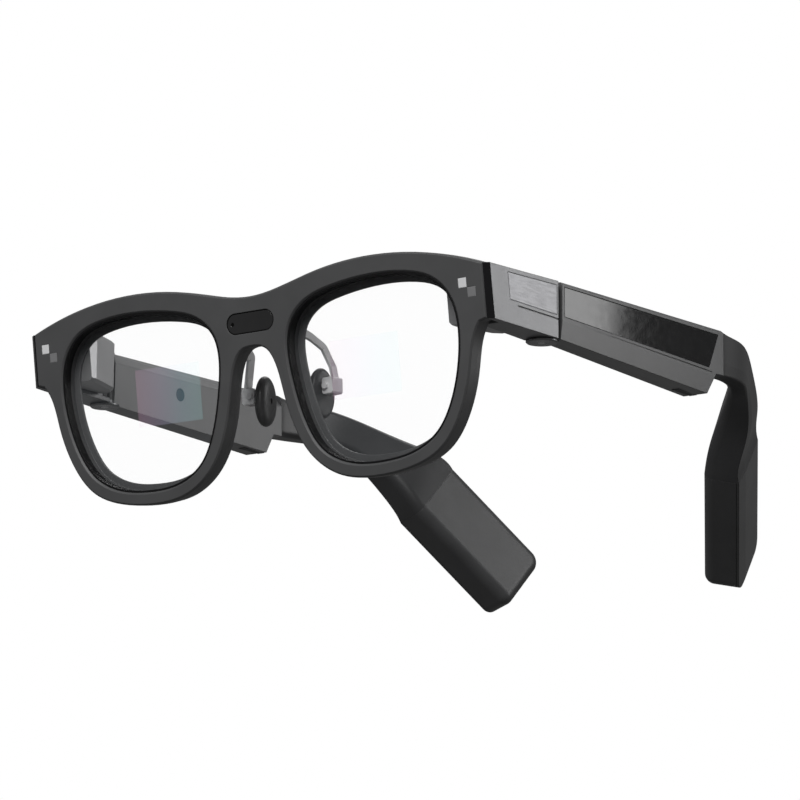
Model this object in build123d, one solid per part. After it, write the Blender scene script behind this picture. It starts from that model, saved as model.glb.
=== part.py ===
from build123d import *
import math
import os

# Smart glasses with see-through displays, modelled open, as they stand on a table.
# All sizes are in millimetres.  The design frame has X to the wearer's left, Y towards
# the back of the head and Z up along the hinge pins, with its zero in the middle of
# the bridge's front face.  The last step tips the glasses onto the table and moves the
# zero to the middle of the footprint.  The side at +X is called left.

# ---- front ----
FACE_TILT = 8.6            # lean of the front: its lower edge is further back
FRONT_THICK = 3.0          # front layer of the frame
REAR_THICK = 2.2           # rear layer of the frame
REAR_INSET = 0.35          # rear layer's outline inside the front layer's
FACE_BEVEL = 0.45
END_HALF_WIDTH = 71.4      # half width of the flat front
END_TOP = 13.2
END_BOTTOM = -0.5
GASKET_GAP = 0.05
GASKET_WIDTH = 0.5         # the gasket lines the wall of the front layer's opening
GASKET_FRONT = 0.45
LENS_INSET = 0.55
COVER_LENS_THICK = 0.8
WAVEGUIDE_THICK = 0.7
APERTURE_INSET = 2.3       # clear aperture of the rear layer inside the front opening
FIT_GAP = 0.05

# ---- bridge window and camera ----
WINDOW_LENGTH = 15.0
WINDOW_HEIGHT = 5.5
WINDOW_HEIGHT_ABOVE_ZERO = 7.6
WINDOW_THICK = 0.8
WINDOW_GAP = 0.3
WINDOW_RECESS = 0.1
LED_X = 5.6
LED_RADIUS = 0.45
CAMERA_BODY = (8.0, 4.6, 4.4)
CAMERA_BARREL_RADIUS = 1.9
BRIDGE_COVER = (17.0, 9.0, 3.2)

# ---- square inlays at the frame's corners ----
INLAY_SIZE = 2.4
INLAY_STEP = 1.25          # from the middle of the pair to each square, which leaves a thin web between them
INLAY_DEPTH = 0.5
INLAY_CENTRE = (66.45, 7.7)

# ---- end block and light engine ----
BLOCK_OUTER_FRONT = 72.9   # half width of the block at its front
BLOCK_OUTER_REAR = 75.0    # half width of the block at the hinge gap
BLOCK_REAR = 26.7
BLOCK_INNER = 66.6
BLOCK_WALL = 1.3
CHEEK_FRONT = 1.3          # how far behind the face the block's outer cheek starts
BLOCK_TOP = (13.0, 13.6)   # at the front and at the hinge
BLOCK_BOTTOM = (-0.4, -1.0)
ENGINE_INNER = (57.0, 60.4)  # the engine cover's inner face, at its front and at its rear
ENGINE_FRONT = 7.0
ENGINE_REAR = 20.4
ENGINE_REAR_BEVEL = 2.2
ENGINE_TOP = 13.9
ENGINE_BOTTOM = 0.4
ENGINE_WALL = 1.0
ENGINE_CORE = (8.4, 7.4, 8.0)        # the projector inside the cover
ENGINE_CORE_AT = (66.0, 13.5, 6.4)
ENGINE_BARREL = (2.6, 2.6)           # radius and length of its lens barrel
ENGINE_BARREL_AT = (63.6, 9.3, 6.4)
PANEL_DEPTH = 0.35
CHEEK_LINE_WIDTH = 0.3

# ---- hinge ----
HINGE_X = 70.2
HINGE_Y = 26.4
LUG_RADIUS = 2.4
BARREL_RADIUS = 2.3
PIN_RADIUS = 1.0
PIN_CLEARANCE = 0.05
CAP_RADIUS = 4.0
CAP_THICK = 0.7
HINGE_FLOOR = 0.2
HINGE_CEILING = 12.2
LUG_HEIGHT = 2.4
LUG_ARM_WIDTH = 3.6
LUG_SWEEP_RADIUS = 2.65    # what swings past the lugs keeps outside this radius
CAP_SWEEP_RADIUS = 4.3
KNUCKLE_ARM_X = 71.8
INNER_STEP = 24.2          # the block's inner half stops here, so the temple can fold

# ---- temple ----
TEMPLE_FRONT = 28.3
TEMPLE_REAR = 104.0
SPEAKER_BOX_END = 99.8
SHELL_WALL = 1.1
PARTING_X = 70.4
TOUCH_DEPTH = 0.4
TOUCH_GAP = 0.08
GRILLE = (2.2, 9.0, 0.6)   # width, length, thickness of the speaker grille
BUTTON = (2.4, 9.0, 1.6)   # width, length, height of the power button
BUTTON_X = 72.9
BUTTON_Y = 44.0
BUTTON_TOP = 14.15           # a hair above the shell, so that it is felt and hardly seen
BUTTON_TRAVEL = 0.5
SENSOR_RADIUS = 1.8
SENSOR_AT = (57.0, 7.0)    # along the temple, height

# ---- tip ----
TIP_DIRECTION = Vector(-0.385, 0.642, -0.664)
TIP_WIDTH_DIRECTION = Vector(-0.12, 0.68, 0.72)
TIP_WIDTH = 21.3
TIP_THICK = 11.0
TIP_START = Vector(51.1, 151.5, -8.55)
TIP_LENGTH = 38.6
TIP_UPPER_CORNER = 4.0     # rounding of the end's corners, seen on the broad face
TIP_LOWER_CORNER = 3.2
TIP_COVER = 1.2            # thickness of the outer cover over the battery
TIP_WALL = 1.6
TIP_GROOVE = (0.3, 0.15)   # depth and width of the line between the cover and the housing
INNER_ROUNDING = 0.28      # rounding of the arm's inner edges, as a share of its thickness
OUTER_ROUNDING = 0.8
CREASE_PLACE = 0.27        # the outer face's crease: its share of the width, from the lower edge,
CREASE_DROP = 0.05         # and how far the face falls away below it, as a share of the thickness
BATTERY_CELL = (16.8, 6.0, 31.0)  # width, thickness, length

# ---- nose pads ----
PAD_AXIS_AT = Vector(12.4, 16.9, -7.4)
PAD_SPLAY = 8.0            # turn of the pad's face towards the back of the head
PAD_FLARE = 15.0           # lean of the pad's lower end away from the nose
PAD_LENGTH = 13.4
PAD_WIDTH = 8.6
PAD_THICK = 3.2
PAD_STANDOFF = 2.2
PAD_STEM = (1.8, 1.2)
NOSE_CLAMP = (4.2, 3.8, 3.6)  # along the pad, along the screw, and towards the nose
NOSE_ARM = (2.6, 0.7)
NOSE_SCREW_RADIUS = 0.45
NOSE_SCREW_HEAD = (0.9, 0.5)  # radius and height

# ---- stance on the table ----
STANCE_TILT = 2.2


def unit(vector):
    return vector.normalized()


face_back = Vector(0, math.cos(math.radians(FACE_TILT)), math.sin(math.radians(FACE_TILT)))
face_plane = Plane(origin=(0, 0, 0), x_dir=(1, 0, 0), z_dir=-face_back)


def face_point(across, up, depth):
    """A point given by its place on the face and its depth behind it."""
    return face_plane.from_local_coords(Vector(across, up, -depth))


def face_slab(sketch, near, far):
    """A slab of the front, from one depth behind the face to another."""
    return face_plane * (Pos(0, 0, -far) * extrude(sketch, far - near))


def face_half_space(depth, x_low, x_high):
    """Everything in front of one depth behind the face, between two widths."""
    width = x_high - x_low
    return face_slab(Pos((x_low + x_high) / 2, 0) * Rectangle(width, 120), -40, depth)


def both_sides(solid):
    """The solid on the +X side and its mirror image."""
    return {"left": solid, "right": mirror(solid, about=Plane.YZ)}


def pair_of(solid):
    return list(both_sides(solid).values())


# ---------------------------------------------------------------- outlines
BROW = [(10, 15.5), (20, 17.8), (37, 19.55), (50, 18.7), (60, 16.8)]
RIM = [(67.4, -4.0), (65.2, -12.3), (61.6, -22.3), (55.1, -30.5), (45.3, -34.4), (34.8, -35.4),
       (24.4, -33.9), (15.7, -28.0), (10.5, -18.8), (8.2, -10.0), (6.4, -3.2), (3.5, 0.7)]
BROW_MIDDLE = (0, 14.2)
STEP = (69.2, -1.1)          # where the end's underside meets the rim
ARCH_MIDDLE = (0, 1.35)
OPENING = [(62.5, -8.5), (63.0, -1.5), (61.5, 5.6), (56.7, 11.2), (49.8, 13.7), (37.0, 14.6),
           (24.5, 13.2), (17.5, 11.0), (12.1, 5.9), (10.7, -1.5), (11.6, -8.5), (15.3, -21.0),
           (18.9, -26.6), (24.4, -30.2), (30.8, -31.8), (37.0, -32.0), (49.3, -29.7),
           (54.7, -26.2), (58.5, -20.9)]


def mirrored(points):
    return [(-x, z) for x, z in points]


def inset(points, amount):
    """The points of a closed outline, run anticlockwise, moved inwards along its normals."""
    moved = []
    for index, point in enumerate(points):
        before = points[index - 1]
        after = points[(index + 1) % len(points)]
        run = (after[0] - before[0], after[1] - before[1])
        length = math.hypot(*run)
        moved.append((point[0] - amount * run[1] / length, point[1] + amount * run[0] / length))
    return moved


def frame_outline(amount):
    """The front's outline, run anticlockwise from the middle of the brow, moved inwards."""
    end = [(END_HALF_WIDTH, END_TOP), (END_HALF_WIDTH, END_BOTTOM), STEP]
    side = mirrored(BROW + end + RIM)
    points = inset([BROW_MIDDLE] + side + [ARCH_MIDDLE] + mirrored(side)[::-1], amount)
    corner = 1 + len(BROW)
    brow = Spline(points[-corner:] + points[:corner + 1])
    right_end = Polyline(*points[corner:corner + 3])
    rim = Spline(points[corner + 2:-corner - 1])
    left_end = Polyline(*points[-corner - 2:-corner + 1])
    return make_face(Curve() + [brow, right_end, rim, left_end])


def opening_outline(amount):
    return make_face(Spline(inset(OPENING, amount), periodic=True))


def two_openings(amount):
    one = opening_outline(amount)
    return one + mirror(one, about=Plane.YZ)


def pill(length, height):
    return SlotOverall(length, height)


# ---------------------------------------------------------------- front pieces
def make_front_frame():
    body = face_slab(frame_outline(0) - two_openings(0), 0, FRONT_THICK)
    front_edges = body.edges().filter_by(
        lambda edge: abs((edge.center() - Vector(0, 0, 0)).dot(face_back)) < 0.01)
    body = chamfer(front_edges, FACE_BEVEL)
    window = Pos(0, WINDOW_HEIGHT_ABOVE_ZERO) * pill(WINDOW_LENGTH, WINDOW_HEIGHT)
    body -= face_slab(window, -1, FRONT_THICK + 1)
    for side in (1, -1):
        for place in (-1, 1):
            body -= inlay(side, place, INLAY_SIZE, -1, INLAY_DEPTH)
    return body


def inlay(side, place, size, near, far):
    """One square inlay: place -1 is the upper one and +1 the lower one."""
    x = side * INLAY_CENTRE[0] + place * INLAY_STEP
    height = INLAY_CENTRE[1] - place * INLAY_STEP
    return face_slab(Pos(x, height) * Rectangle(size, size), near, far)


def make_inlays(place):
    return [inlay(side, place, INLAY_SIZE - 0.02, 0.02, INLAY_DEPTH) for side in (1, -1)]


def flex_path(half_width):
    top = [(-64, 13.4), (-50, 16.5), (-37, 17.2), (-20, 15.6), (0, 12.5),
           (20, 15.6), (37, 17.2), (50, 16.5), (64, 13.4)]
    upper = Spline([(x, z + half_width) for x, z in top])
    lower = Spline([(x, z - half_width) for x, z in top])
    ends = [Line((x, z + half_width), (x, z - half_width)) for x, z in (top[0], top[-1])]
    return make_face(Curve() + [upper, lower] + ends)


FLEX_DEPTH = 0.35


def make_brow_flex():
    return face_slab(flex_path(0.8), FRONT_THICK + 0.1, FRONT_THICK + 0.1 + FLEX_DEPTH)


def make_rear_frame():
    rear = FRONT_THICK + REAR_THICK
    outline = frame_outline(REAR_INSET)
    body = face_slab(outline - two_openings(APERTURE_INSET), FRONT_THICK, rear)
    pocket_depth = FRONT_THICK + COVER_LENS_THICK + WAVEGUIDE_THICK + 0.15
    body -= face_slab(two_openings(LENS_INSET - FIT_GAP), FRONT_THICK - 1, pocket_depth)
    body -= face_slab(flex_path(1.1), FRONT_THICK - 1, FRONT_THICK + FLEX_DEPTH + 0.2)
    camera_hole = Pos(0, WINDOW_HEIGHT_ABOVE_ZERO) * Rectangle(CAMERA_BODY[0] + 0.4, CAMERA_BODY[1] + 0.4)
    return body - face_slab(camera_hole, FRONT_THICK - 1, rear + 1)


def make_gasket():
    outer = opening_outline(GASKET_GAP)
    inner = opening_outline(GASKET_GAP + GASKET_WIDTH)
    return face_slab(outer - inner, GASKET_FRONT, FRONT_THICK)


def make_cover_lens():
    return face_slab(opening_outline(LENS_INSET), FRONT_THICK + FIT_GAP, FRONT_THICK + COVER_LENS_THICK)


WAVEGUIDE_FRONT = FRONT_THICK + COVER_LENS_THICK + 0.05
GRATING_CENTRE = (31.3, -7.2)
GRATING_SIZE = (21.0, 15.0)
GRATING_THICK = 0.08


def make_waveguide():
    plate = face_slab(opening_outline(LENS_INSET), WAVEGUIDE_FRONT, WAVEGUIDE_FRONT + WAVEGUIDE_THICK)
    area = Pos(*GRATING_CENTRE) * Rectangle(*GRATING_SIZE)
    rear = WAVEGUIDE_FRONT + WAVEGUIDE_THICK
    return plate - face_slab(area, rear - GRATING_THICK, rear + 1)


def make_grating():
    rear = WAVEGUIDE_FRONT + WAVEGUIDE_THICK
    area = Pos(*GRATING_CENTRE) * Rectangle(GRATING_SIZE[0] - 0.02, GRATING_SIZE[1] - 0.02)
    return face_slab(area, rear - GRATING_THICK, rear)


def make_camera_window():
    size = (WINDOW_LENGTH - 2 * WINDOW_GAP, WINDOW_HEIGHT - 2 * WINDOW_GAP)
    outline = Pos(0, WINDOW_HEIGHT_ABOVE_ZERO) * pill(*size)
    plate = face_slab(outline, WINDOW_RECESS, WINDOW_RECESS + WINDOW_THICK)
    hole = Pos(-LED_X, WINDOW_HEIGHT_ABOVE_ZERO) * Circle(LED_RADIUS + 0.05)
    return plate - face_slab(hole, -1, FRONT_THICK)


def make_indicator():
    dot = Pos(-LED_X, WINDOW_HEIGHT_ABOVE_ZERO) * Circle(LED_RADIUS)
    return face_slab(dot, WINDOW_RECESS + 0.05, FRONT_THICK - 0.6)


def make_camera_module():
    near = FRONT_THICK + 0.2
    middle = (0, WINDOW_HEIGHT_ABOVE_ZERO)
    body = face_slab(Pos(*middle) * Rectangle(*CAMERA_BODY[:2]), near, near + CAMERA_BODY[2])
    barrel = face_slab(Pos(*middle) * Circle(CAMERA_BARREL_RADIUS), WINDOW_RECESS + WINDOW_THICK + 0.1, near)
    return body + barrel


def make_bridge_cover():
    near = FRONT_THICK + REAR_THICK
    shell = face_slab(Pos(0, WINDOW_HEIGHT_ABOVE_ZERO) * RectangleRounded(*BRIDGE_COVER[:2], 3.0),
                      near, near + BRIDGE_COVER[2])
    rim = shell.faces().sort_by(Axis(origin=(0, 0, 0), direction=tuple(face_back)))[-1].edges()
    shell = fillet(rim, 1.0)
    room = Pos(0, WINDOW_HEIGHT_ABOVE_ZERO) * Rectangle(CAMERA_BODY[0] + 0.6, CAMERA_BODY[1] + 0.6)
    return shell - face_slab(room, near - 1, near + BRIDGE_COVER[2] - 0.8)


# ---------------------------------------------------------------- end block
def side_profile(points, x_low, x_high):
    """A solid with an outline in the Y-Z plane, between two widths."""
    outline = make_face(Polyline(*points, close=True))
    return Pos(x_low, 0, 0) * extrude(Plane.YZ * outline, x_high - x_low)


def upright_cylinder(radius, low, high, x=HINGE_X, y=HINGE_Y):
    return Pos(x, y, (low + high) / 2) * Cylinder(radius, high - low)


def upright_prism(points, low, high):
    return Pos(0, 0, low) * extrude(make_face(Polyline(*points, close=True)), high - low)


def block_side_profile(x_low, x_high):
    return side_profile([(-6, BLOCK_BOTTOM[0]), (BLOCK_REAR, BLOCK_BOTTOM[1]),
                         (BLOCK_REAR, BLOCK_TOP[1]), (-6, BLOCK_TOP[0])], x_low, x_high)


def outer_face_x(y):
    slope = (BLOCK_OUTER_REAR - BLOCK_OUTER_FRONT) / BLOCK_REAR
    return BLOCK_OUTER_FRONT + slope * y


def make_hinge_block():
    plan = [(outer_face_x(-6), -6), (BLOCK_OUTER_REAR, BLOCK_REAR), (HINGE_X, BLOCK_REAR),
            (HINGE_X, INNER_STEP), (BLOCK_INNER, INNER_STEP), (BLOCK_INNER, -6)]
    body = block_side_profile(50, 80) & upright_prism(plan, -10, 30)
    body -= face_half_space(CHEEK_FRONT, 40, 90)
    body -= face_half_space(FRONT_THICK + REAR_THICK, 40, END_HALF_WIDTH + FIT_GAP)
    lugs = upright_cylinder(LUG_RADIUS, -0.9, HINGE_FLOOR)
    lugs += upright_cylinder(LUG_RADIUS, HINGE_CEILING, 13.3)
    body += lugs
    pocket = [(outer_face_x(21.2) - BLOCK_WALL, 21.2), (BLOCK_OUTER_REAR - BLOCK_WALL, BLOCK_REAR + 2),
              (BLOCK_INNER - 5, BLOCK_REAR + 2), (BLOCK_INNER - 5, 21.2)]
    body -= upright_prism(pocket, HINGE_FLOOR, HINGE_CEILING)
    room = [(outer_face_x(7) - BLOCK_WALL, 7.4), (outer_face_x(20) - BLOCK_WALL, 20.0),
            (BLOCK_INNER - 1, 20.0), (BLOCK_INNER - 1, 7.4)]
    body -= upright_prism(room, 1.2, 11.6)
    body -= upright_cylinder(PIN_RADIUS, -3, HINGE_CEILING + 0.1)
    return body - side_panel_solid(1.0, 0.0) - cheek_line()


def cheek_inlay(outline, depth, outwards):
    """What lies inside a side outline, between a depth under the outer cheek and a height over it."""
    bar = side_profile(outline, 60, 90)
    skin = upright_prism([(outer_face_x(0) - depth, 0), (outer_face_x(30) - depth, 30),
                          (outer_face_x(30) + outwards, 30), (outer_face_x(0) + outwards, 0)], 0, 20)
    return bar & skin


def side_panel_solid(outwards, gap):
    """The light panel let into the block's outer face, or with outwards more than 0, its pocket."""
    outline = [(6.4 + gap, 12.1 - gap), (26.2 - gap, 12.5 - gap),
               (26.2 - gap, 4.9 + gap), (7.4 + gap, 5.3 + gap)]
    return cheek_inlay(outline, PANEL_DEPTH, outwards)


def cheek_line():
    """The fine groove that runs along under the panel."""
    outline = [(10.6, 4.35), (28.0, 4.0), (28.0, 4.0 - CHEEK_LINE_WIDTH), (10.6, 4.35 - CHEEK_LINE_WIDTH)]
    return cheek_inlay(outline, CHEEK_LINE_WIDTH, 1.0)


def make_side_panel():
    return side_panel_solid(-0.03, 0.06)


def make_end_bezel():
    inner = END_HALF_WIDTH + FIT_GAP
    far = CHEEK_FRONT - FIT_GAP
    wedge = [(inner, 0.15), (inner, far), (outer_face_x(1), far)]
    across = make_face(Polyline(*[(x, -depth) for x, depth in wedge], close=True))
    bar = face_plane * extrude(Plane.XZ * across, 60, both=True)
    return bar & block_side_profile(60, 80)


def make_light_engine_cover():
    rear_corner = ENGINE_REAR - ENGINE_REAR_BEVEL
    plan = [(ENGINE_INNER[0], -6), (ENGINE_INNER[0], ENGINE_FRONT), (ENGINE_INNER[1], rear_corner),
            (ENGINE_INNER[1] + ENGINE_REAR_BEVEL, ENGINE_REAR),
            (BLOCK_INNER - FIT_GAP, ENGINE_REAR), (BLOCK_INNER - FIT_GAP, -6)]
    body = upright_prism(plan, ENGINE_BOTTOM, ENGINE_TOP)
    flat_ends = body.faces().sort_by(Axis.Z)
    body = chamfer(flat_ends[-1].edges() + flat_ends[0].edges(), 0.8)
    body -= face_half_space(FRONT_THICK + REAR_THICK, 40, 90)
    room_rear = rear_corner - 0.2
    room = [(ENGINE_INNER[0] + 1.3 * ENGINE_WALL, 7.6), (ENGINE_INNER[1] + 1.1 * ENGINE_WALL, room_rear),
            (BLOCK_INNER + 1, room_rear), (BLOCK_INNER + 1, 7.6)]
    return body - upright_prism(room, ENGINE_BOTTOM + ENGINE_WALL, ENGINE_TOP - ENGINE_WALL)


def make_light_engine():
    """The micro projector with its stub of a lens barrel towards the waveguide."""
    body = Pos(*ENGINE_CORE_AT) * Box(*ENGINE_CORE)
    barrel = Pos(*ENGINE_BARREL_AT) * (Rot(90, 0, 0) * Cylinder(*ENGINE_BARREL))
    return body + barrel


# ---------------------------------------------------------------- hinge
def make_hinge_bracket():
    plate = Pos(HINGE_X - 0.3, 22.4, (HINGE_FLOOR + HINGE_CEILING) / 2)
    plate *= Box(6.4, 1.6, HINGE_CEILING - HINGE_FLOOR)
    body = plate
    for low in (HINGE_FLOOR, HINGE_CEILING - LUG_HEIGHT):
        high = low + LUG_HEIGHT
        arm = Box(LUG_ARM_WIDTH, HINGE_Y - 22.4, LUG_HEIGHT)
        body += upright_cylinder(LUG_RADIUS, low, high)
        body += Pos(HINGE_X, (22.4 + HINGE_Y) / 2, (low + high) / 2) * arm
    return body - upright_cylinder(PIN_RADIUS, -1, 20)


def make_hinge_pin():
    return upright_cylinder(PIN_RADIUS, BLOCK_BOTTOM[1] - CAP_THICK, HINGE_CEILING)


def make_hinge_cap():
    top = BLOCK_BOTTOM[1] - 0.02
    body = upright_cylinder(CAP_RADIUS, top - CAP_THICK, top)
    body = chamfer(body.faces().sort_by(Axis.Z)[0].edges(), 0.3)
    return body - upright_cylinder(PIN_RADIUS, -5, 5)


def make_temple_knuckle():
    low = HINGE_FLOOR + LUG_HEIGHT + 0.15
    high = HINGE_CEILING - LUG_HEIGHT - 0.15
    arm = Pos(KNUCKLE_ARM_X, (HINGE_Y + 37) / 2, (low + high) / 2) * Box(2.4, 37 - HINGE_Y, high - low)
    body = upright_cylinder(BARREL_RADIUS, low, high) + arm
    return body - upright_cylinder(PIN_RADIUS + PIN_CLEARANCE, -1, 20)


# ---------------------------------------------------------------- temple
# Corner points of the temple's section, at its front and at its rear, clockwise from the top outer one.
SECTION_FRONT = [(74.5, 13.7), (75.1, 13.1), (75.1, 3.8), (74.6, -0.9),
                 (68.9, -0.9), (68.4, 10.8), (70.4, 13.7)]
SECTION_REAR = [(76.3, 15.4), (76.95, 14.8), (76.95, 2.3), (76.3, -2.9),
                (68.9, -2.9), (69.2, 11.8), (72.4, 15.4)]


def temple_section(y, shrink):
    share = (y - TEMPLE_FRONT) / (TEMPLE_REAR - TEMPLE_FRONT)
    points = []
    for front, rear in zip(SECTION_FRONT, SECTION_REAR):
        points.append((front[0] + share * (rear[0] - front[0]), front[1] + share * (rear[1] - front[1])))
    if shrink:
        # the small bevel along the top is left out of the cavity
        points = inset(points[:0:-1], shrink)
    return make_face(Polyline(*[(x, y, z) for x, z in points], close=True))


def temple_block(y_low, y_high, shrink):
    return loft([temple_section(y_low, shrink), temple_section(y_high, shrink)], ruled=True)


def temple_envelope():
    body = temple_block(TEMPLE_FRONT, TEMPLE_REAR, 0)
    rear_cut = [(110, 3.4), (SPEAKER_BOX_END + 0.4, 3.1), (SPEAKER_BOX_END - 2.9, -2.4),
                (SPEAKER_BOX_END - 4.6, -6), (110, -6)]
    body -= side_profile(rear_cut, 60, 90)
    body -= upright_cylinder(LUG_SWEEP_RADIUS, -10, 30)
    return body - upright_cylinder(CAP_SWEEP_RADIUS, -10, -0.7)


def temple_cavity():
    room = temple_block(TEMPLE_FRONT + 1.6, TEMPLE_REAR - 8.5, SHELL_WALL)
    low = HINGE_FLOOR + LUG_HEIGHT
    high = HINGE_CEILING - LUG_HEIGHT
    slot = Pos(KNUCKLE_ARM_X, TEMPLE_FRONT, (low + high) / 2) * Box(2.8, 6, high - low)
    return room + slot


def parting_half(outer):
    """Everything on the outer or the inner side of the temple's parting surface."""
    x = PARTING_X + (14 if outer else -14)
    return Pos(x, 66, 6) * Box(28, 90, 40)


def touch_panel_solid(depth_low, depth_high, gap):
    outline = [(29.3 + gap, 12.6 - gap), (101.6 - gap, 13.8 - gap),
               (96.9 - gap, 4.2 + gap), (29.3 + gap, 4.9 + gap)]
    bar = side_profile(outline, 60, 90)
    slope = (SECTION_REAR[1][0] - SECTION_FRONT[1][0]) / (TEMPLE_REAR - TEMPLE_FRONT)

    def surface(y, depth):
        return SECTION_FRONT[1][0] + slope * (y - TEMPLE_FRONT) - depth
    skin = [(surface(20, depth_high), 20), (surface(110, depth_high), 110),
            (surface(110, depth_low), 110), (surface(20, depth_low), 20)]
    return bar & upright_prism(skin, -5, 25)


def groove_solid():
    """The fine line that runs along the outer face just below the touch panel."""
    outline = [(29.3, 4.25), (98.2, 3.35), (98.2, 3.15), (29.3, 4.05)]
    return side_profile(outline, 60, 90) & upright_prism(
        [(74.95, 20), (76.85, 110), (79, 110), (79, 20)], -5, 25)


def grille_place(width, length, low, high):
    return Pos(71.4, 93.0, (low + high) / 2) * Box(width, length, high - low)


def make_outer_shell(with_button):
    body = temple_envelope() - temple_cavity()
    body &= parting_half(True)
    body -= touch_panel_solid(-2, TOUCH_DEPTH, 0)
    body -= groove_solid()
    body -= grille_place(GRILLE[0] + 0.1, GRILLE[1] + 0.1, -6, 0)
    if with_button:
        body -= button_slot()
    return body


def make_inner_shell(with_sensor):
    body = temple_envelope() - temple_cavity()
    body &= parting_half(False)
    if with_sensor:
        body -= sensor_cylinder(SENSOR_RADIUS + 0.05, 60, 72)
    return body - grille_place(GRILLE[0] + 0.1, GRILLE[1] + 0.1, -6, 0)


def sensor_cylinder(radius, x_low, x_high):
    y, height = SENSOR_AT
    return Pos((x_low + x_high) / 2, y, height) * (Rot(0, 90, 0) * Cylinder(radius, x_high - x_low))


def make_sensor_window():
    return sensor_cylinder(SENSOR_RADIUS, 68.75, 69.55)


def make_touch_panel():
    return touch_panel_solid(0.03, TOUCH_DEPTH, TOUCH_GAP)


def make_grille():
    low = -2.65
    plate = grille_place(GRILLE[0], GRILLE[1], low, low + GRILLE[2])
    for index in range(8):
        y = 93.0 + (index - 3.5) * 1.0
        plate -= Pos(71.4, y, low) * Box(GRILLE[0] - 0.8, 0.45, 4)
    return plate


def make_speaker():
    return Pos(72.7, 87.0, 1.4) * Box(3.6, 12.5, 5.2)


def make_board():
    board = Pos(71.4, 59.5, 7.0) * Box(0.8, 38.0, 7.6)
    chips = Pos(72.4, 52.0, 7.0) * Box(1.2, 9.0, 6.0) + Pos(72.2, 68.0, 7.0) * Box(0.8, 7.0, 5.0)
    return board + chips


def button_slot():
    return Pos(BUTTON_X, BUTTON_Y, 14) * Box(BUTTON[0] + 0.2, BUTTON[1] + 0.2, 6)


def make_button():
    cap = Pos(BUTTON_X, BUTTON_Y, BUTTON_TOP - BUTTON[2] / 2) * rounded_prism(BUTTON)
    foot = Pos(BUTTON_X, BUTTON_Y, 11.8 + BUTTON_TRAVEL) * Box(1.6, BUTTON[1] - 2, 1.6)
    return cap + foot


def rounded_prism(size):
    width, length, height = size
    return Pos(0, 0, -height / 2) * extrude(RectangleRounded(width, length, 1.0), height)


# ---------------------------------------------------------------- arm and tip
# Stations of the arm: centre, direction of travel, direction of the width, width, thickness.
ARM_STATIONS = [
    ((73.1, TEMPLE_REAR + 0.02, 9.3), (0, 1, 0), (0, 0, 1), 12.1, 7.5),
    ((72.9, 112.0, 9.4), (-0.14, 0.99, 0), (0, 0, 1), 10.9, 6.4),
    ((69.7, 123.6, 9.2), (-0.38, 0.92, -0.10), (0, 0.05, 1), 10.2, 5.8),
    ((64.7, 133.6, 6.6), (-0.42, 0.78, -0.45), (-0.05, 0.35, 0.93), 10.4, 6.4),
    ((60.2, 140.2, 2.7), (-0.40, 0.70, -0.59), (-0.10, 0.52, 0.84), 12.6, 8.8),
    ((55.1, 146.2, -2.2), (-0.39, 0.66, -0.64), (-0.12, 0.64, 0.76), 17.6, 10.2),
    (tuple(TIP_START), tuple(TIP_DIRECTION), tuple(TIP_WIDTH_DIRECTION), TIP_WIDTH, TIP_THICK),
]


def station_plane(centre, direction, width_direction):
    """A plane across the arm: its X runs along the width, upwards, and its Y points outwards."""
    along = unit(Vector(*direction))
    wide = Vector(*width_direction)
    wide = unit(wide - along * wide.dot(along))
    return Plane(origin=centre, x_dir=wide, z_dir=along)


def crease_cut(width, thick):
    """What the outer face loses below its crease, across the arm."""
    crease = width * (CREASE_PLACE - 0.5)
    beyond = 1.0
    drop = thick * CREASE_DROP * (1 + beyond / (width * CREASE_PLACE))
    low = -width / 2 - beyond
    outline = [(low, thick / 2 - drop), (crease, thick / 2), (crease, thick), (low, thick)]
    return make_face(Polyline(*outline, close=True))


def arm_section(width, thick):
    """The arm cut across: well rounded towards the head, with a creased outer face at +Y."""
    section = Rectangle(width, thick)
    section = fillet([vertex for vertex in section.vertices() if vertex.Y < 0], thick * INNER_ROUNDING)
    outer = [vertex for vertex in section.vertices() if vertex.Y > thick / 2 - 0.01]
    return fillet(outer, OUTER_ROUNDING) - crease_cut(width, thick)


def make_arm():
    sections = []
    for centre, direction, width_direction, width, thick in ARM_STATIONS:
        plane = station_plane(centre, direction, width_direction)
        sections.append(plane * arm_section(width, thick))
    return loft(sections)


tip_plane = station_plane(tuple(TIP_START), tuple(TIP_DIRECTION), tuple(TIP_WIDTH_DIRECTION))


def tip_layer(y_low, y_high, amount=0):
    """The tip between two depths, with its outline moved inwards: X is its width and Z its length."""
    half = TIP_WIDTH / 2 - amount
    end = TIP_LENGTH - amount
    outline = Polyline((-half, 0), (half, 0), (half, end), (-half, end), close=True)
    face = make_face(outline)
    end_corners = {half: TIP_UPPER_CORNER, -half: TIP_LOWER_CORNER}
    for across, radius in end_corners.items():
        at_end = [vertex for vertex in face.vertices() if vertex.Y > end - 0.01]
        face = fillet([vertex for vertex in at_end if abs(vertex.X - across) < 0.01], radius)
    return Pos(0, y_high, 0) * extrude(Plane.XZ * face, y_high - y_low)


def rim_edges(body, y):
    """The edges of the tip's broad face at one depth, without the one against the arm."""
    edges = body.edges().filter_by(lambda edge: abs(edge.center().Y - y) < 0.01)
    return [edge for edge in edges if edge.center().Z > 0.01]


def tip_body():
    body = tip_layer(-TIP_THICK / 2, TIP_THICK / 2)
    body = fillet(rim_edges(body, -TIP_THICK / 2), TIP_THICK * INNER_ROUNDING)
    body = fillet(rim_edges(body, TIP_THICK / 2), OUTER_ROUNDING)
    return body - extrude(crease_cut(TIP_WIDTH, TIP_THICK), TIP_LENGTH + 1)


COVER_FLOOR = TIP_THICK / 2 - TIP_COVER


def make_tip_cover():
    return tip_plane * (tip_body() & tip_layer(COVER_FLOOR, TIP_THICK, -1))


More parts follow.
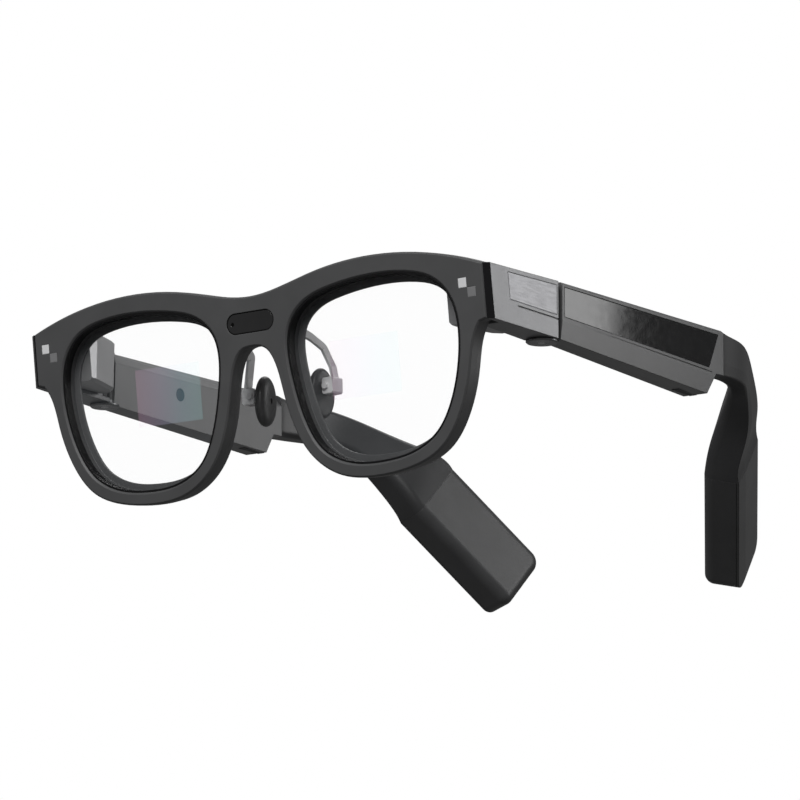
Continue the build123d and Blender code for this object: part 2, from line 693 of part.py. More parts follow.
def make_tip_housing():
    groove_depth, groove_width = TIP_GROOVE
    groove = tip_layer(COVER_FLOOR - groove_width, COVER_FLOOR + 1, -1)
    groove -= tip_layer(COVER_FLOOR - groove_width - 1, COVER_FLOOR + 2, groove_depth)
    room_floor = -TIP_THICK / 2 + TIP_WALL
    room = Pos(0, (room_floor + TIP_THICK) / 2, TIP_LENGTH / 2)
    room *= Box(TIP_WIDTH - 2 * TIP_WALL, TIP_THICK - room_floor, TIP_LENGTH - 2 * TIP_WALL - 1)
    body = tip_body() & tip_layer(-TIP_THICK, COVER_FLOOR, -1)
    return tip_plane * (body - groove - room)


def make_battery():
    cell = Pos(0, COVER_FLOOR - 0.2 - BATTERY_CELL[1] / 2, TIP_LENGTH / 2) * Box(*BATTERY_CELL)
    return tip_plane * fillet(cell.edges().filter_by(Axis.Z), 1.0)


# ---------------------------------------------------------------- nose pads
# Pad frame: X along the pad's length and up, Y along the screw, Z from the clamp to the nose.
pad_normal = Vector(-math.cos(math.radians(PAD_SPLAY)), math.sin(math.radians(PAD_SPLAY)), 0)
pad_up = Vector(-math.sin(math.radians(PAD_FLARE)), 0, math.cos(math.radians(PAD_FLARE)))
pad_up = unit(pad_up - pad_normal * pad_up.dot(pad_normal))
pad_plane = Plane(origin=tuple(PAD_AXIS_AT), x_dir=pad_up, z_dir=pad_normal)


def make_nose_pad():
    pad = extrude(Ellipse(PAD_LENGTH / 2, PAD_WIDTH / 2), PAD_THICK)
    pad = fillet(pad.edges(), 1.2)
    stem = Pos(0, 0, PAD_STANDOFF / 2 - 0.3) * Box(*PAD_STEM, PAD_STANDOFF + 1.4)
    body = Pos(-1.4, 0, PAD_STANDOFF) * pad + stem
    return pad_plane * (body - screw_hole(NOSE_SCREW_RADIUS + 0.05))


def screw_hole(radius):
    return Rot(90, 0, 0) * Cylinder(radius, 20)


def make_nose_screw():
    shank_half = NOSE_CLAMP[1] / 2 + 0.1
    shank = Rot(90, 0, 0) * Cylinder(NOSE_SCREW_RADIUS, 2 * shank_half)
    head = Pos(0, -shank_half - NOSE_SCREW_HEAD[1] / 2, 0) * (Rot(90, 0, 0) * Cylinder(*NOSE_SCREW_HEAD))
    return pad_plane * (shank + head)


def make_nose_arm():
    box = Pos(0, 0, -0.5) * Box(*NOSE_CLAMP)
    box = chamfer(box.edges().filter_by(Axis.Y), 0.4)
    slot = Pos(0, 0, 0.5) * Box(6, PAD_STEM[1] + 0.4, 4.0)
    clamp = pad_plane * (box - slot - screw_hole(NOSE_SCREW_RADIUS))
    start = pad_plane.from_local_coords(Vector(0.6, 0, -1.8))
    end = face_point(10.2, 4.9, FRONT_THICK + REAR_THICK + 0.6)
    path_points = [tuple(start), (13.4, 16.2, -2.6), (11.6, 14.6, 2.4), (10.6, 10.6, 4.4), tuple(end)]
    path = FilletPolyline(*path_points, radius=1.2)
    profile_plane = Plane(origin=path_points[0], z_dir=path % 0, x_dir=(0, 1, 0))
    strip = sweep(profile_plane * Rectangle(*NOSE_ARM), path=path, transition=Transition.RIGHT)
    foot = face_slab(Pos(10.2, 4.9) * RectangleRounded(2.6, 4.0, 0.8),
                     FRONT_THICK + REAR_THICK, FRONT_THICK + REAR_THICK + 1.4)
    return clamp + strip + foot


# ---------------------------------------------------------------- assembly
def build_nodes():
    nodes = {
        "front_frame": make_front_frame(),
        "rear_frame": make_rear_frame(),
        "camera_window": make_camera_window(),
        "camera_module": make_camera_module(),
        "indicator_led": make_indicator(),
        "bridge_cover": make_bridge_cover(),
        "brow_flex_cable": make_brow_flex(),
        "upper_corner_inlays": make_inlays(-1),
        "lower_corner_inlays": make_inlays(1),
        "display_gratings": pair_of(make_grating()),
        "end_bezels": pair_of(make_end_bezel()),
        "hinge_pins": pair_of(make_hinge_pin()),
        "nose_screws": pair_of(make_nose_screw()),
    }
    paired = {
        "lens_gasket": make_gasket(),
        "cover_lens": make_cover_lens(),
        "waveguide": make_waveguide(),
        "hinge_block": make_hinge_block(),
        "side_panel": make_side_panel(),
        "light_engine_cover": make_light_engine_cover(),
        "light_engine": make_light_engine(),
        "hinge_bracket": make_hinge_bracket(),
        "hinge_cap": make_hinge_cap(),
        "nose_arm": make_nose_arm(),
        "nose_pad": make_nose_pad(),
        "temple_knuckle": make_temple_knuckle(),
        "touch_panel": make_touch_panel(),
        "circuit_board": make_board(),
        "speaker": make_speaker(),
        "speaker_grille": make_grille(),
        "temple_arm": make_arm(),
        "tip_housing": make_tip_housing(),
        "tip_cover": make_tip_cover(),
        "battery_cell": make_battery(),
    }
    for name, solid in paired.items():
        for side, placed in both_sides(solid).items():
            nodes[f"{name}_{side}"] = placed
    nodes["temple_outer_shell_left"] = make_outer_shell(True)
    nodes["temple_outer_shell_right"] = mirror(make_outer_shell(False), about=Plane.YZ)
    nodes["temple_inner_shell_left"] = make_inner_shell(False)
    nodes["temple_inner_shell_right"] = mirror(make_inner_shell(True), about=Plane.YZ)
    nodes["power_button"] = make_button()
    nodes["wear_sensor_window"] = mirror(make_sensor_window(), about=Plane.YZ)
    return nodes


def stand_on_table(nodes):
    """Tip the glasses onto their rims and tips, with the zero in the middle of the footprint."""
    everything = Compound(children=[Compound(solids) for solids in nodes.values()])
    tipped = Rot(STANCE_TILT, 0, 0) * everything
    box = tipped.bounding_box()
    shift = Pos(-(box.min.X + box.max.X) / 2, -(box.min.Y + box.max.Y) / 2, -box.min.Z)
    print("placing:", [round(value, 3) for value in shift.position], "size:", box.size)
    return shift * Rot(STANCE_TILT, 0, 0)


def main():
    os.makedirs("parts", exist_ok=True)
    nodes = {}
    for name, shape in build_nodes().items():
        nodes[name] = shape if isinstance(shape, list) else shape.solids()
    placing = stand_on_table(nodes)
    for name, solids in nodes.items():
        placed = Compound([placing * solid for solid in solids])
        placed.label = name
        export_step(placed, f"parts/{name}.step")


main()
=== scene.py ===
import math

import bpy
from mathutils import Matrix, Vector


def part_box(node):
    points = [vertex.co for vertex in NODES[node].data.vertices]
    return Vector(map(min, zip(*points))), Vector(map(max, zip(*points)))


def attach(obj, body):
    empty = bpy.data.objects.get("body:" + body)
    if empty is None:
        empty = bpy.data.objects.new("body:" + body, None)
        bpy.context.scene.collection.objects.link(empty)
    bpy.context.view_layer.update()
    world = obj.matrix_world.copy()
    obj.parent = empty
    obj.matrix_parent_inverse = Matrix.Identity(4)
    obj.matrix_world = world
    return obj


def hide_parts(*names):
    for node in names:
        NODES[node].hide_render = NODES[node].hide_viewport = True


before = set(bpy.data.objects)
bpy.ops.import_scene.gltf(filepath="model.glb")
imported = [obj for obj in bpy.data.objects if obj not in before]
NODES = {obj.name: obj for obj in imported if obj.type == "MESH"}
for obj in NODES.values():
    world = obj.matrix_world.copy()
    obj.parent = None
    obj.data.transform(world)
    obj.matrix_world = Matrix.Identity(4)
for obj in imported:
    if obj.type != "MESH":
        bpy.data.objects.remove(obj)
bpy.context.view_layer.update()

# ---------------------------------------------------------------- driving values, metres and degrees
MM = 0.001

CAMERA_AZIMUTH = 35.57
CAMERA_ELEVATION = -13.67      # the camera looks up at the glasses
CAMERA_ROLL = 1.6
CAMERA_DISTANCE = 0.9443
CAMERA_AIM = (0.0293, -0.0666, 0.0240)
LENS_LENGTH = 167.9            # millimetres, for a sensor as wide as the next value
SENSOR_WIDTH = 36.0

FLOOR_DEPTH = 1.3              # the floor lies far below, so that the glasses can be seen from underneath
FLOOR_HALF = 40.0
FLOOR_GLOW = 0.7               # keeps the paper pale where the softboxes don't reach
WORLD_SEEN = 1.0               # the world's strength where the camera looks straight at it
WORLD_LIGHT = 0.14             # and for everything that it lights

# Softboxes: place, the point that each one faces, width and height, power in watts.
MIDDLE = (0.0, -0.02, 0.03)
SOFTBOXES = {
    "front_softbox": ((0.25, -1.0, 0.75), MIDDLE, (0.9, 0.6), 13.5),
    "side_softbox": ((0.384, 0.248, 0.165), (0.075, -0.03, 0.04), (0.18, 0.30), 0.6),
    "inner_softbox": ((0.18, 0.355, 0.14), (-0.073, 0.0, 0.035), (0.20, 0.30), 0.28),
    "top_softbox": ((-0.3, 0.5, 1.1), MIDDLE, (0.8, 0.8), 4.0),
}
INNER_SOFTBOX_LIGHTS = ("temple_", "light_engine_cover")  # of the nodes on the -X side

EDGE_RADIUS = 0.25 * MM
GRATING_SPAN = (0.0208, 0.0418)  # where the gratings start and end, out from the middle of the face
CORNERS = ((-1, -1), (1, -1), (1, 1), (-1, 1))

STANCE_TILT = 2.2              # the whole pair leans this far about X as it stands
FACE_TILT = 8.6                # and the front leans this far more
PAD_SPLAY = 8.0
PAD_FLARE = 15.0
PAD_THICKNESS = 3.2 * MM       # of the cushion alone, without its stem
PAD_EGG = 0.05                 # the share by which the pad is narrower above its middle and wider below it
PAD_RING = 28                  # points round the pad
PAD_STEM_HALF = (0.9 * MM, 0.6 * MM)
PAD_STEM_OFFSET = 1.4 * MM     # the stem sits above the pad's middle
PAD_STEM_SUNK = 0.3 * MM       # and runs this far into the pad

# The pad's skin from the middle of its back to the middle of its face: share of the outline's size and
# share of the pad's thickness.  The face has a small moulded dimple in its middle.
PAD_PROFILE = (
    (0.30, 0.0), (0.80, 0.01), (0.94, 0.10), (1.0, 0.32), (0.985, 0.56), (0.91, 0.76), (0.76, 0.90),
    (0.50, 0.97), (0.22, 0.995), (0.13, 1.0), (0.105, 0.975), (0.09, 0.80),
)
PAD_DIMPLE_FLOOR = 0.78

GAP_SHADE_CLEARANCE = 0.02 * MM     # between the window and the black ring of painted shade round it
GAP_SHADE_REACH = 0.27 * MM         # from the window's edge to the outside of the painted-shade ring
GAP_SHADE_SINK = 0.03 * MM          # how far the painted-shade ring's face lies behind the window's
GAP_SHADE_DEPTH = 0.5 * MM
PILL_STEPS = 16                # points round each end of the painted-shade ring


# ---------------------------------------------------------------- material helpers
class Graph:
    """A material's node tree, with short calls for the nodes used here."""

    def __init__(self, name):
        self.material = bpy.data.materials.new(name)
        self.material.use_nodes = True
        self.nodes = self.material.node_tree.nodes
        self.links = self.material.node_tree.links
        self.shader = self.nodes["Principled BSDF"]

    def node(self, kind, **values):
        made = self.nodes.new(kind)
        for key, value in values.items():
            setattr(made, key, value)
        return made

    def link(self, source, target):
        self.links.new(source, target)

    def set(self, **values):
        """Sets what is the same all over the surface, by the name of the shader's socket."""
        for key, value in values.items():
            self.shader.inputs[key.replace("_", " ")].default_value = value

    def coordinates(self):
        return self.node("ShaderNodeTexCoord").outputs["Object"]

    def noise(self, scale, detail=2.0, stretch=None):
        coordinates = self.coordinates()
        if stretch:
            mapping = self.node("ShaderNodeMapping")
            mapping.inputs["Scale"].default_value = stretch
            self.link(coordinates, mapping.inputs["Vector"])
            coordinates = mapping.outputs["Vector"]
        noise = self.node("ShaderNodeTexNoise")
        noise.inputs["Scale"].default_value = scale
        noise.inputs["Detail"].default_value = detail
        self.link(coordinates, noise.inputs["Vector"])
        return noise.outputs["Fac"]

    def ranged(self, value, low, high, from_low=0.3, from_high=0.7):
        ranged = self.node("ShaderNodeMapRange")
        ranged.inputs["From Min"].default_value = from_low
        ranged.inputs["From Max"].default_value = from_high
        ranged.inputs["To Min"].default_value = low
        ranged.inputs["To Max"].default_value = high
        self.link(value, ranged.inputs["Value"])
        return ranged.outputs["Result"]

    def mix(self, factor, first, second):
        mix = self.node("ShaderNodeMix", data_type="RGBA")
        self.link(factor, mix.inputs["Factor"])
        for socket, colour in ((mix.inputs["A"], first), (mix.inputs["B"], second)):
            if isinstance(colour, tuple):
                socket.default_value = (*colour, 1.0)
            else:
                self.link(colour, socket)
        return mix.outputs["Result"]

    def bump(self, height, distance, rounded=None):
        bump = self.node("ShaderNodeBump")
        if rounded:
            self.link(rounded, bump.inputs["Normal"])
        bump.inputs["Distance"].default_value = distance
        self.link(height, bump.inputs["Height"])
        self.link(bump.outputs["Normal"], self.shader.inputs["Normal"])

    def rounded(self, radius):
        """The normal of a surface whose edges are rounded off by a small radius."""
        bevel = self.node("ShaderNodeBevel", samples=6)
        bevel.inputs["Radius"].default_value = radius
        return bevel.outputs["Normal"]

    def edge(self, rounded):
        """1 along edges, fading to 0 on flat surfaces."""
        geometry = self.node("ShaderNodeNewGeometry")
        product = self.node("ShaderNodeVectorMath", operation="DOT_PRODUCT")
        self.link(rounded, product.inputs[0])
        self.link(geometry.outputs["Normal"], product.inputs[1])
        return self.ranged(product.outputs["Value"], 1.0, 0.0, 0.85, 0.99)


def scaled(colour, factor):
    return tuple(min(1.0, channel * factor) for channel in colour)


def surface(name, colour, roughness, grain=4200.0, grain_height=0.006, spread=0.05, tone=0.12,
            edge_highlight=1.15, metallic=0.0, stretch=None, specular=0.5):
    """A moulded, painted or brushed surface: two close tones, uneven gloss, fine grain and a painted
    highlight along the edges.
    """
    graph = Graph(name)
    patches = graph.ranged(graph.noise(90.0, 3.0), 0.0, 1.0)
    body = graph.mix(patches, scaled(colour, 1.0 - tone), scaled(colour, 1.0 + tone))
    rounded = graph.rounded(EDGE_RADIUS)
    # Painted highlight: the colour is made lighter along the edges, where light would catch their rounding.
    colour_out = graph.mix(graph.edge(rounded), body, scaled(colour, edge_highlight))
    graph.link(colour_out, graph.shader.inputs["Base Color"])
    fine = graph.noise(grain, 3.0, stretch)
    graph.link(graph.ranged(fine, roughness - spread, roughness + spread), graph.shader.inputs["Roughness"])
    graph.bump(fine, grain_height * MM, rounded=rounded)
    graph.set(Metallic=metallic, Specular_IOR_Level=specular)
    return graph.material


def lens_glass(name, tint, alpha):
    """Clear coated lens: nearly nothing seen through it, with a faint bloom in its reflection."""
    graph = Graph(name)
    bloom = graph.ranged(graph.noise(30.0, 2.0), 0.0, 1.0)
    graph.link(graph.mix(bloom, scaled(tint, 0.97), tint), graph.shader.inputs["Base Color"])
    smudge = graph.noise(160.0, 3.0)
    graph.link(graph.ranged(smudge, 0.02, 0.05), graph.shader.inputs["Roughness"])
    graph.set(Alpha=alpha, Specular_IOR_Level=0.3, IOR=1.5)
    graph.bump(graph.noise(25.0, 1.0), 0.002 * MM)
    return graph.material


def rainbow_grating(name):
    """The diffraction grating of the waveguide: painted diffraction colours, pale pink to pale cyan by place
    across it, which also glow by emission as painted light, in fine upright lines.

    Both gratings run the same way across, so the places of the one at -X are wrapped onto the other's.
    """
    graph = Graph(name)
    split = graph.node("ShaderNodeSeparateXYZ")
    graph.link(graph.coordinates(), split.inputs["Vector"])
    ramp = graph.node("ShaderNodeValToRGB")
    stops = ((0.0, (0.95, 0.55, 0.80)), (0.35, (0.80, 0.68, 0.97)), (0.7, (0.52, 0.83, 0.98)),
             (1.0, (0.46, 0.93, 0.93)))
    ramp.color_ramp.elements[0].color = (*stops[0][1], 1)
    ramp.color_ramp.elements[1].color = (*stops[-1][1], 1)
    for place, colour in stops[1:-1]:
        ramp.color_ramp.elements.new(place).color = (*colour, 1)
    across = graph.node("ShaderNodeMath", operation="WRAP")
    across.inputs[1].default_value = GRATING_SPAN[0] + GRATING_SPAN[1]
    across.inputs[2].default_value = 0.0
    graph.link(split.outputs["X"], across.inputs[0])
    graph.link(graph.ranged(across.outputs["Value"], 0.0, 1.0, *GRATING_SPAN), ramp.inputs["Fac"])
    graph.link(ramp.outputs["Color"], graph.shader.inputs["Base Color"])
    # Painted glow: the ramp's colours also shine by emission, though the grating is no lamp.
    graph.link(ramp.outputs["Color"], graph.shader.inputs["Emission Color"])
    lines = graph.noise(1500.0, 1.0, (6.0, 0.2, 0.2))
    graph.link(graph.ranged(lines, 0.18, 0.30), graph.shader.inputs["Roughness"])
    graph.set(Alpha=0.05, Emission_Strength=0.8, Specular_IOR_Level=0.1)
    return graph.material


def spun_metal(name, colour, roughness):
    """A disc turned on a lathe: fine rings that gather the light into crossed fans."""
    graph = Graph(name)
    patches = graph.ranged(graph.noise(400.0, 2.0), 0.0, 1.0)
    body = graph.mix(patches, scaled(colour, 0.93), scaled(colour, 1.07))
    graph.link(body, graph.shader.inputs["Base Color"])
    tangent = graph.node("ShaderNodeTangent", direction_type="RADIAL", axis="Z")
    graph.link(tangent.outputs["Tangent"], graph.shader.inputs["Tangent"])
    fine = graph.noise(6000.0, 2.0)
    graph.link(graph.ranged(fine, roughness - 0.04, roughness + 0.04), graph.shader.inputs["Roughness"])
    graph.set(Metallic=1.0, Anisotropic=0.9)
    graph.bump(fine, 0.0015 * MM, rounded=graph.rounded(EDGE_RADIUS))
    return graph.material


def silicone(name):
    """Smoke-grey nose pad: soft, slightly see-through skin with a fine bloom of dust."""
    graph = Graph(name)
    patches = graph.ranged(graph.noise(300.0, 3.0), 0.0, 1.0)
    body = graph.mix(patches, (0.052, 0.0525, 0.054), (0.072, 0.0725, 0.074))
    graph.link(body, graph.shader.inputs["Base Color"])
    fine = graph.noise(3000.0, 2.0)
    graph.link(graph.ranged(fine, 0.32, 0.46), graph.shader.inputs["Roughness"])
    graph.bump(fine, 0.003 * MM)
    graph.set(Subsurface_Weight=0.25, Subsurface_Scale=0.002, Specular_IOR_Level=0.5, Alpha=0.93)
    graph.shader.inputs["Subsurface Radius"].default_value = (1.0, 1.0, 1.0)
    return graph.material


# ---------------------------------------------------------------- materials
MATERIALS = {
    "front": surface("front_matte", (0.071, 0.0715, 0.073), 0.50, tone=0.08),
    "rear": surface("rear_matte", (0.075, 0.0755, 0.077), 0.42),
    "gasket": surface("gasket_black", (0.006, 0.006, 0.0065), 0.5, tone=0.08, specular=0.2),
    "gloss": surface("gloss_black", (0.006, 0.006, 0.007), 0.14, grain=700.0, grain_height=0.0006,
                     spread=0.03),
    "window": surface("camera_window_gloss", (0.020, 0.020, 0.0205), 0.22, grain=700.0, grain_height=0.0006,
                      # Painted shade: near-black and nearly matt, for the ring in the gap round the camera
                      # window; the indicator's black dot uses it too.
                      spread=0.04),
    "gap_shade_and_led": surface("gap_shade_and_led_black", (0.002, 0.002, 0.002), 0.6, tone=0.1, specular=0.1),
    "inlay": surface("inlay_silver", (0.80, 0.80, 0.81), 0.4, metallic=0.15, tone=0.05, edge_highlight=1.1,
                     stretch=(1, 1, 14)),
    "inlay_dark": surface("inlay_gunmetal", (0.26, 0.26, 0.265), 0.35, metallic=0.3, tone=0.08, edge_highlight=1.3,
                          stretch=(1, 1, 14)),
    "block": surface("block_anodised", (0.16, 0.161, 0.165), 0.36, metallic=0.6, grain=2600.0, tone=0.06),
    "panel": surface("panel_satin", (0.20, 0.20, 0.207), 0.36, metallic=0.75, grain=2600.0, tone=0.02,
                     stretch=(1, 0.1, 1)),
    "engine": surface("engine_satin", (0.36, 0.36, 0.365), 0.38, tone=0.05, metallic=0.75),
    "steel": surface("hinge_steel", (0.42, 0.42, 0.43), 0.28, metallic=1.0, tone=0.05, stretch=(1, 1, 0.08)),
    "hinge": surface("hinge_blackened", (0.03, 0.03, 0.031), 0.42, metallic=0.5, tone=0.1, edge_highlight=2.0),
    "spun": spun_metal("cap_spun_steel", (0.20, 0.20, 0.205), 0.24),
    "bright": surface("arm_steel", (0.86, 0.86, 0.865), 0.34, metallic=0.15, tone=0.03, stretch=(1, 1, 0.1)),
    "temple": surface("temple_satin", (0.080, 0.0805, 0.082), 0.34, tone=0.08),
    "arm": surface("arm_satin", (0.030, 0.0303, 0.0315), 0.38),
    "tip": surface("tip_satin", (0.050, 0.0503, 0.0515), 0.36, specular=0.4),
    "touch": surface("touch_gloss", (0.005, 0.005, 0.0055), 0.08, grain=500.0, grain_height=0.0004,
                     spread=0.02),
    "board": surface("board_green", (0.015, 0.09, 0.045), 0.45, tone=0.2),
    "grille": surface("grille_black", (0.05, 0.05, 0.052), 0.4, metallic=0.8),
    "foil": surface("battery_foil", (0.62, 0.62, 0.63), 0.35, metallic=0.9, tone=0.08),
    "film": surface("flex_film", (0.35, 0.17, 0.04), 0.35, tone=0.1),
    "lens": lens_glass("lens_clear", (0.60, 0.64, 0.70), 0.008),
    "guide": lens_glass("waveguide_clear", (0.55, 0.62, 0.66), 0.006),
    "grating": rainbow_grating("grating_rainbow"),
    "silicone": silicone("pad_silicone"),
}

FINISH = {
    "front_frame": "front", "rear_frame": "rear", "bridge_cover": "rear", "lens_gasket": "gasket",
    "camera_window": "window", "camera_module": "gloss", "indicator_led": "gap_shade_and_led", "brow_flex_cable": "film",
    "upper_corner_inlays": "inlay", "lower_corner_inlays": "inlay_dark", "display_gratings": "grating",
    "end_bezels": "gloss", "hinge_pins": "steel", "nose_screws": "bright", "cover_lens": "lens",
    "waveguide": "guide", "hinge_block": "block", "side_panel": "panel", "light_engine_cover": "engine",
    "light_engine": "steel", "hinge_bracket": "hinge", "hinge_cap": "spun", "nose_arm": "bright",
    "nose_pad": "silicone", "temple_knuckle": "hinge", "touch_panel": "touch", "circuit_board": "board",
    "speaker": "gloss", "speaker_grille": "grille", "temple_arm": "arm", "tip_housing": "tip",
    "tip_cover": "tip", "battery_cell": "foil", "temple_outer_shell": "temple",
    "temple_inner_shell": "temple", "power_button": "temple", "wear_sensor_window": "gloss",
}


def plain_name(node):
    """The node's name without its side, as FINISH has it."""
    return node.removesuffix("_left").removesuffix("_right")


def finish_nodes():
    for name, node in NODES.items():
        material = MATERIALS[FINISH[plain_name(name)]]
        if not node.material_slots:
            node.data.materials.append(material)
        for slot in node.material_slots:
            slot.link = "OBJECT"
            slot.material = material


# ---------------------------------------------------------------- pieces made here
def piece_from(name, points, faces, material, body, smooth=True):
    mesh = bpy.data.meshes.new(name)
    mesh.from_pydata([tuple(point) for point in points], [], faces)
    mesh.validate()
    mesh.materials.append(material)
    for polygon in mesh.polygons:
        polygon.use_smooth = smooth
    piece = bpy.data.objects.new(name, mesh)
    bpy.context.scene.collection.objects.link(piece)
    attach(piece, body)
    return piece


def rings_to_faces(ring_count, ring_size, closed_ends):
    """Quads between neighbouring rings of points, and fans to a single last point at both ends."""
    faces = []
    for ring in range(ring_count - 1):
        for index in range(ring_size):
            after = (index + 1) % ring_size
            low = ring * ring_size
            high = low + ring_size
            faces.append((low + index, low + after, high + after, high + index))
    if closed_ends:
        first = ring_count * ring_size
        last = first + 1
        top = (ring_count - 1) * ring_size
        for index in range(ring_size):
            after = (index + 1) % ring_size
            faces.append((first, after, index))
            faces.append((last, top + index, top + after))
    return faces


def tilted(vector, degrees):
    """A direction of the upright design, leaned about X."""
    return Matrix.Rotation(math.radians(degrees), 3, "X") @ Vector(vector)


def pad_axes(side):
    """The pad's length, its width and the way it faces, for side 1 at +X and side -1 at -X."""
    splay = math.radians(PAD_SPLAY)
    flare = math.radians(PAD_FLARE)
    facing = Vector((-math.cos(splay), math.sin(splay), 0))
    length = Vector((-math.sin(flare), 0, math.cos(flare)))
    length = (length - facing * length.dot(facing)).normalized()
    axes = (length, facing.cross(length), facing)
    return [tilted((side * axis.x, axis.y, axis.z), STANCE_TILT) for axis in axes]


def measured_pad(node, axes):
    """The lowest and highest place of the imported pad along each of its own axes."""
    spans = []
    for axis in axes:
        places = [vertex.co.dot(axis) for vertex in NODES[node].data.vertices]
        spans.append((min(places), max(places)))
    return spans


def make_nose_pad(side_name, side):
    """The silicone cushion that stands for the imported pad, rounded all over, on its stem."""
    node = f"nose_pad_{side_name}"
    axes = pad_axes(side)
    length, width, facing = measured_pad(node, axes)
    middle = axes[0] * sum(length) / 2 + axes[1] * sum(width) / 2
    half_length = (length[1] - length[0]) / 2
    half_width = (width[1] - width[0]) / 2
    back = facing[1] - PAD_THICKNESS

    def at(across, along, height):
        return middle + axes[0] * along + axes[1] * across + axes[2] * height

    points = []
    for share, height in PAD_PROFILE:
        for index in range(PAD_RING):
            turn = 2 * math.pi * index / PAD_RING
            across = share * half_width * math.cos(turn) / (1 + PAD_EGG * math.sin(turn))
            along = share * half_length * math.sin(turn)
            points.append(at(across, along, back + height * PAD_THICKNESS))
    points.append(at(0, 0, back))
    points.append(at(0, 0, back + PAD_DIMPLE_FLOOR * PAD_THICKNESS))
    pad = piece_from(f"soft_pad_{side_name}", points, rings_to_faces(len(PAD_PROFILE), PAD_RING, True),
                     MATERIALS["silicone"], f"{side_name}_pad")
    pad.modifiers.new("smooth", "SUBSURF").render_levels = 2
    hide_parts(node)
    make_pad_stem(side_name, axes, middle + axes[0] * PAD_STEM_OFFSET, facing[0], back + PAD_STEM_SUNK)


def make_pad_stem(side_name, axes, middle, low, high):
    """The moulded tongue on the pad's back that the clamp screw goes through."""
    points = []
    for height in (low, high):
        for along, across in CORNERS:
            corner = axes[0] * along * PAD_STEM_HALF[0] + axes[1] * across * PAD_STEM_HALF[1]
            points.append(middle + corner + axes[2] * height)
    faces = [(3, 2, 1, 0), (4, 5, 6, 7), (0, 1, 5, 4), (1, 2, 6, 5), (2, 3, 7, 6), (3, 0, 4, 7)]
    stem = piece_from(f"pad_stem_{side_name}", points, faces, MATERIALS["silicone"],
                      f"{side_name}_pad", smooth=False)
    bevel = stem.modifiers.new("rounded", "BEVEL")
    bevel.width = EDGE_RADIUS
    bevel.segments = 3


def pill_points(length, height, count):
    """Points round a slot with half-round ends, in its own plane."""
    radius = height / 2
    points = []
    for end in (1, -1):
        for index in range(count + 1):
            turn = math.pi * (index / count - 0.5)
            across = length / 2 - radius + radius * math.cos(turn)
            points.append((end * across, end * radius * math.sin(turn)))
    return points


def make_window_gap_shade():
    """A near-black ring that fills the gap round the camera window: painted shade for the shadowed gap."""
    low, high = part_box("camera_window")
    up = tilted((0, 0, 1), STANCE_TILT + FACE_TILT)
    back = tilted((0, 1, 0), STANCE_TILT + FACE_TILT)
    vertices = [vertex.co for vertex in NODES["camera_window"].data.vertices]
    heights = [vertex.dot(up) for vertex in vertices]
    front = min(vertex.dot(back) for vertex in vertices)
    middle = up * (min(heights) + max(heights)) / 2
    length = high[0] - low[0]
    height = max(heights) - min(heights)
    rings = ((GAP_SHADE_CLEARANCE, GAP_SHADE_DEPTH), (GAP_SHADE_CLEARANCE, GAP_SHADE_SINK),
             (GAP_SHADE_REACH, GAP_SHADE_SINK), (GAP_SHADE_REACH, GAP_SHADE_DEPTH))
    points = []
    for outwards, deep in rings:
        for across, above in pill_points(length + 2 * outwards, height + 2 * outwards, PILL_STEPS):
            points.append(middle + Vector((across, 0, 0)) + up * above + back * (front + deep))
    ring_size = len(points) // len(rings)
    faces = rings_to_faces(len(rings), ring_size, False)
    last = (len(rings) - 1) * ring_size  # the last ring of points joins the first, behind the painted-shade ring
    for index in range(ring_size):
        after = (index + 1) % ring_size
        faces.append((last + index, last + after, after, index))
    piece_from("window_gap_shade", points, faces, MATERIALS["gap_shade_and_led"], "front")


# ---------------------------------------------------------------- camera, floor and light
def camera_axes():
    """Which way the camera's right, its top and its back point."""
    azimuth = math.radians(CAMERA_AZIMUTH)
    elevation = math.radians(CAMERA_ELEVATION)
    back = Vector((math.sin(azimuth) * math.cos(elevation), -math.cos(azimuth) * math.cos(elevation),
                   math.sin(elevation)))
    right = Vector((math.cos(azimuth), math.sin(azimuth), 0))
    roll = Matrix.Rotation(math.radians(CAMERA_ROLL), 3, back)
    return roll @ right, roll @ back.cross(right), back


def make_camera():
    right, up, back = camera_axes()
    data = bpy.data.cameras.new("camera")
    data.sensor_width = SENSOR_WIDTH
    data.lens = LENS_LENGTH
    data.clip_start = 0.01
    camera = bpy.data.objects.new("camera", data)
    bpy.context.scene.collection.objects.link(camera)
    camera.matrix_world = Matrix((right, up, back)).transposed().to_4x4()
    camera.location = Vector(CAMERA_AIM) + back * CAMERA_DISTANCE
    bpy.context.scene.camera = camera


def area_light(name, place, target, size, power):
    data = bpy.data.lights.new(name, "AREA")
    data.shape = "RECTANGLE"
    data.size, data.size_y = size
    data.energy = power
    light = bpy.data.objects.new(name, data)
    bpy.context.scene.collection.objects.link(light)
    light.location = place
    light.rotation_euler = (Vector(target) - Vector(place)).to_track_quat("-Z", "Y").to_euler()
    light.visible_camera = False
    return light


def light_only(light, names):
    """Lets a light fall on the named nodes alone."""
    receivers = bpy.data.collections.new(f"{light.name}_receivers")
    for name in names:
        receivers.objects.link(NODES[name])
    light.light_linking.receiver_collection = receivers


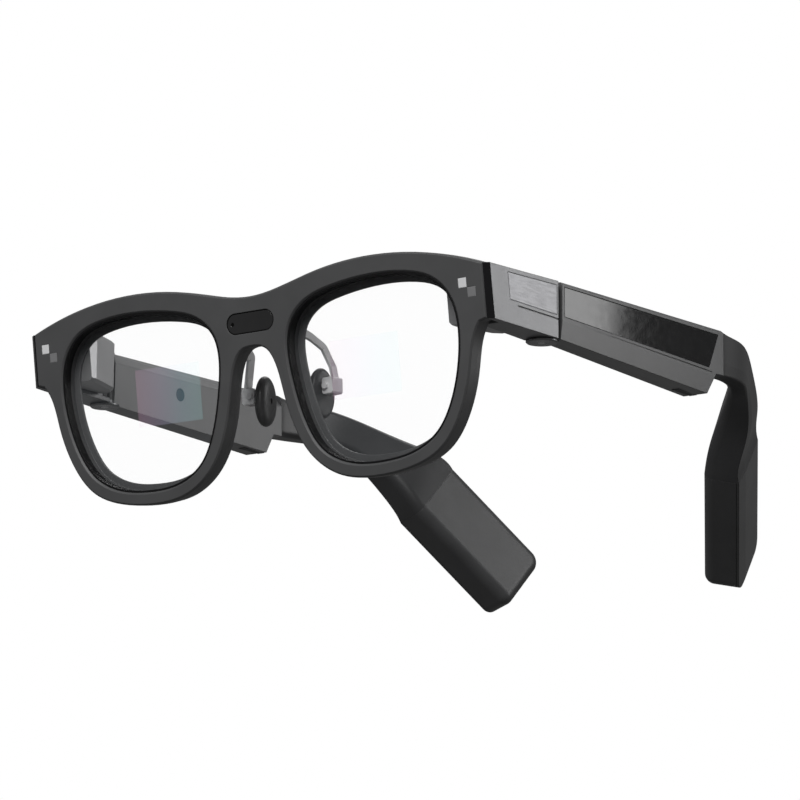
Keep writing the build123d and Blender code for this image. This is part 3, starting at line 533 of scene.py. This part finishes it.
def make_floor():
    """Pale paper that casts no light back up, so that the undersides stay dark."""
    mesh = bpy.data.meshes.new("floor")
    points = [(x * FLOOR_HALF, y * FLOOR_HALF, -FLOOR_DEPTH) for x, y in CORNERS]
    mesh.from_pydata(points, [], [(0, 1, 2, 3)])
    floor = bpy.data.objects.new("floor", mesh)
    bpy.context.scene.collection.objects.link(floor)
    graph = Graph("floor_paper")
    grain = graph.noise(400.0, 2.0)
    paper = graph.mix(graph.ranged(grain, 0.0, 1.0), (0.86, 0.86, 0.86), (0.89, 0.89, 0.89))
    graph.link(paper, graph.shader.inputs["Base Color"])
    graph.set(Roughness=0.9, Emission_Strength=FLOOR_GLOW)
    graph.shader.inputs["Emission Color"].default_value = (1, 1, 1, 1)
    mesh.materials.append(graph.material)
    floor.visible_diffuse = False
    floor.visible_glossy = False


def make_world():
    """White where the camera looks straight at it, a soft grey for everything that it lights."""
    world = bpy.data.worlds.new("studio")
    bpy.context.scene.world = world
    world.use_nodes = True
    nodes = world.node_tree.nodes
    links = world.node_tree.links
    path = nodes.new("ShaderNodeLightPath")
    seen = nodes.new("ShaderNodeBackground")
    seen.inputs["Color"].default_value = (1, 1, 1, 1)
    seen.inputs["Strength"].default_value = WORLD_SEEN
    light = nodes["Background"]
    light.inputs["Color"].default_value = (1, 1, 1, 1)
    light.inputs["Strength"].default_value = WORLD_LIGHT
    mix = nodes.new("ShaderNodeMixShader")
    links.new(path.outputs["Is Camera Ray"], mix.inputs["Fac"])
    links.new(light.outputs["Background"], mix.inputs[1])
    links.new(seen.outputs["Background"], mix.inputs[2])
    links.new(mix.outputs["Shader"], nodes["World Output"].inputs["Surface"])


def make_lights():
    lights = {name: area_light(name, *values) for name, values in SOFTBOXES.items()}
    far_temple = [name for name in NODES
                  if name.startswith(INNER_SOFTBOX_LIGHTS) and name.endswith("_right")]
    light_only(lights["inner_softbox"], far_temple)


finish_nodes()
make_nose_pad("left", 1)
make_nose_pad("right", -1)
make_window_gap_shade()
make_camera()
make_floor()
make_world()
make_lights()
bpy.context.scene.view_settings.view_transform = "Standard"
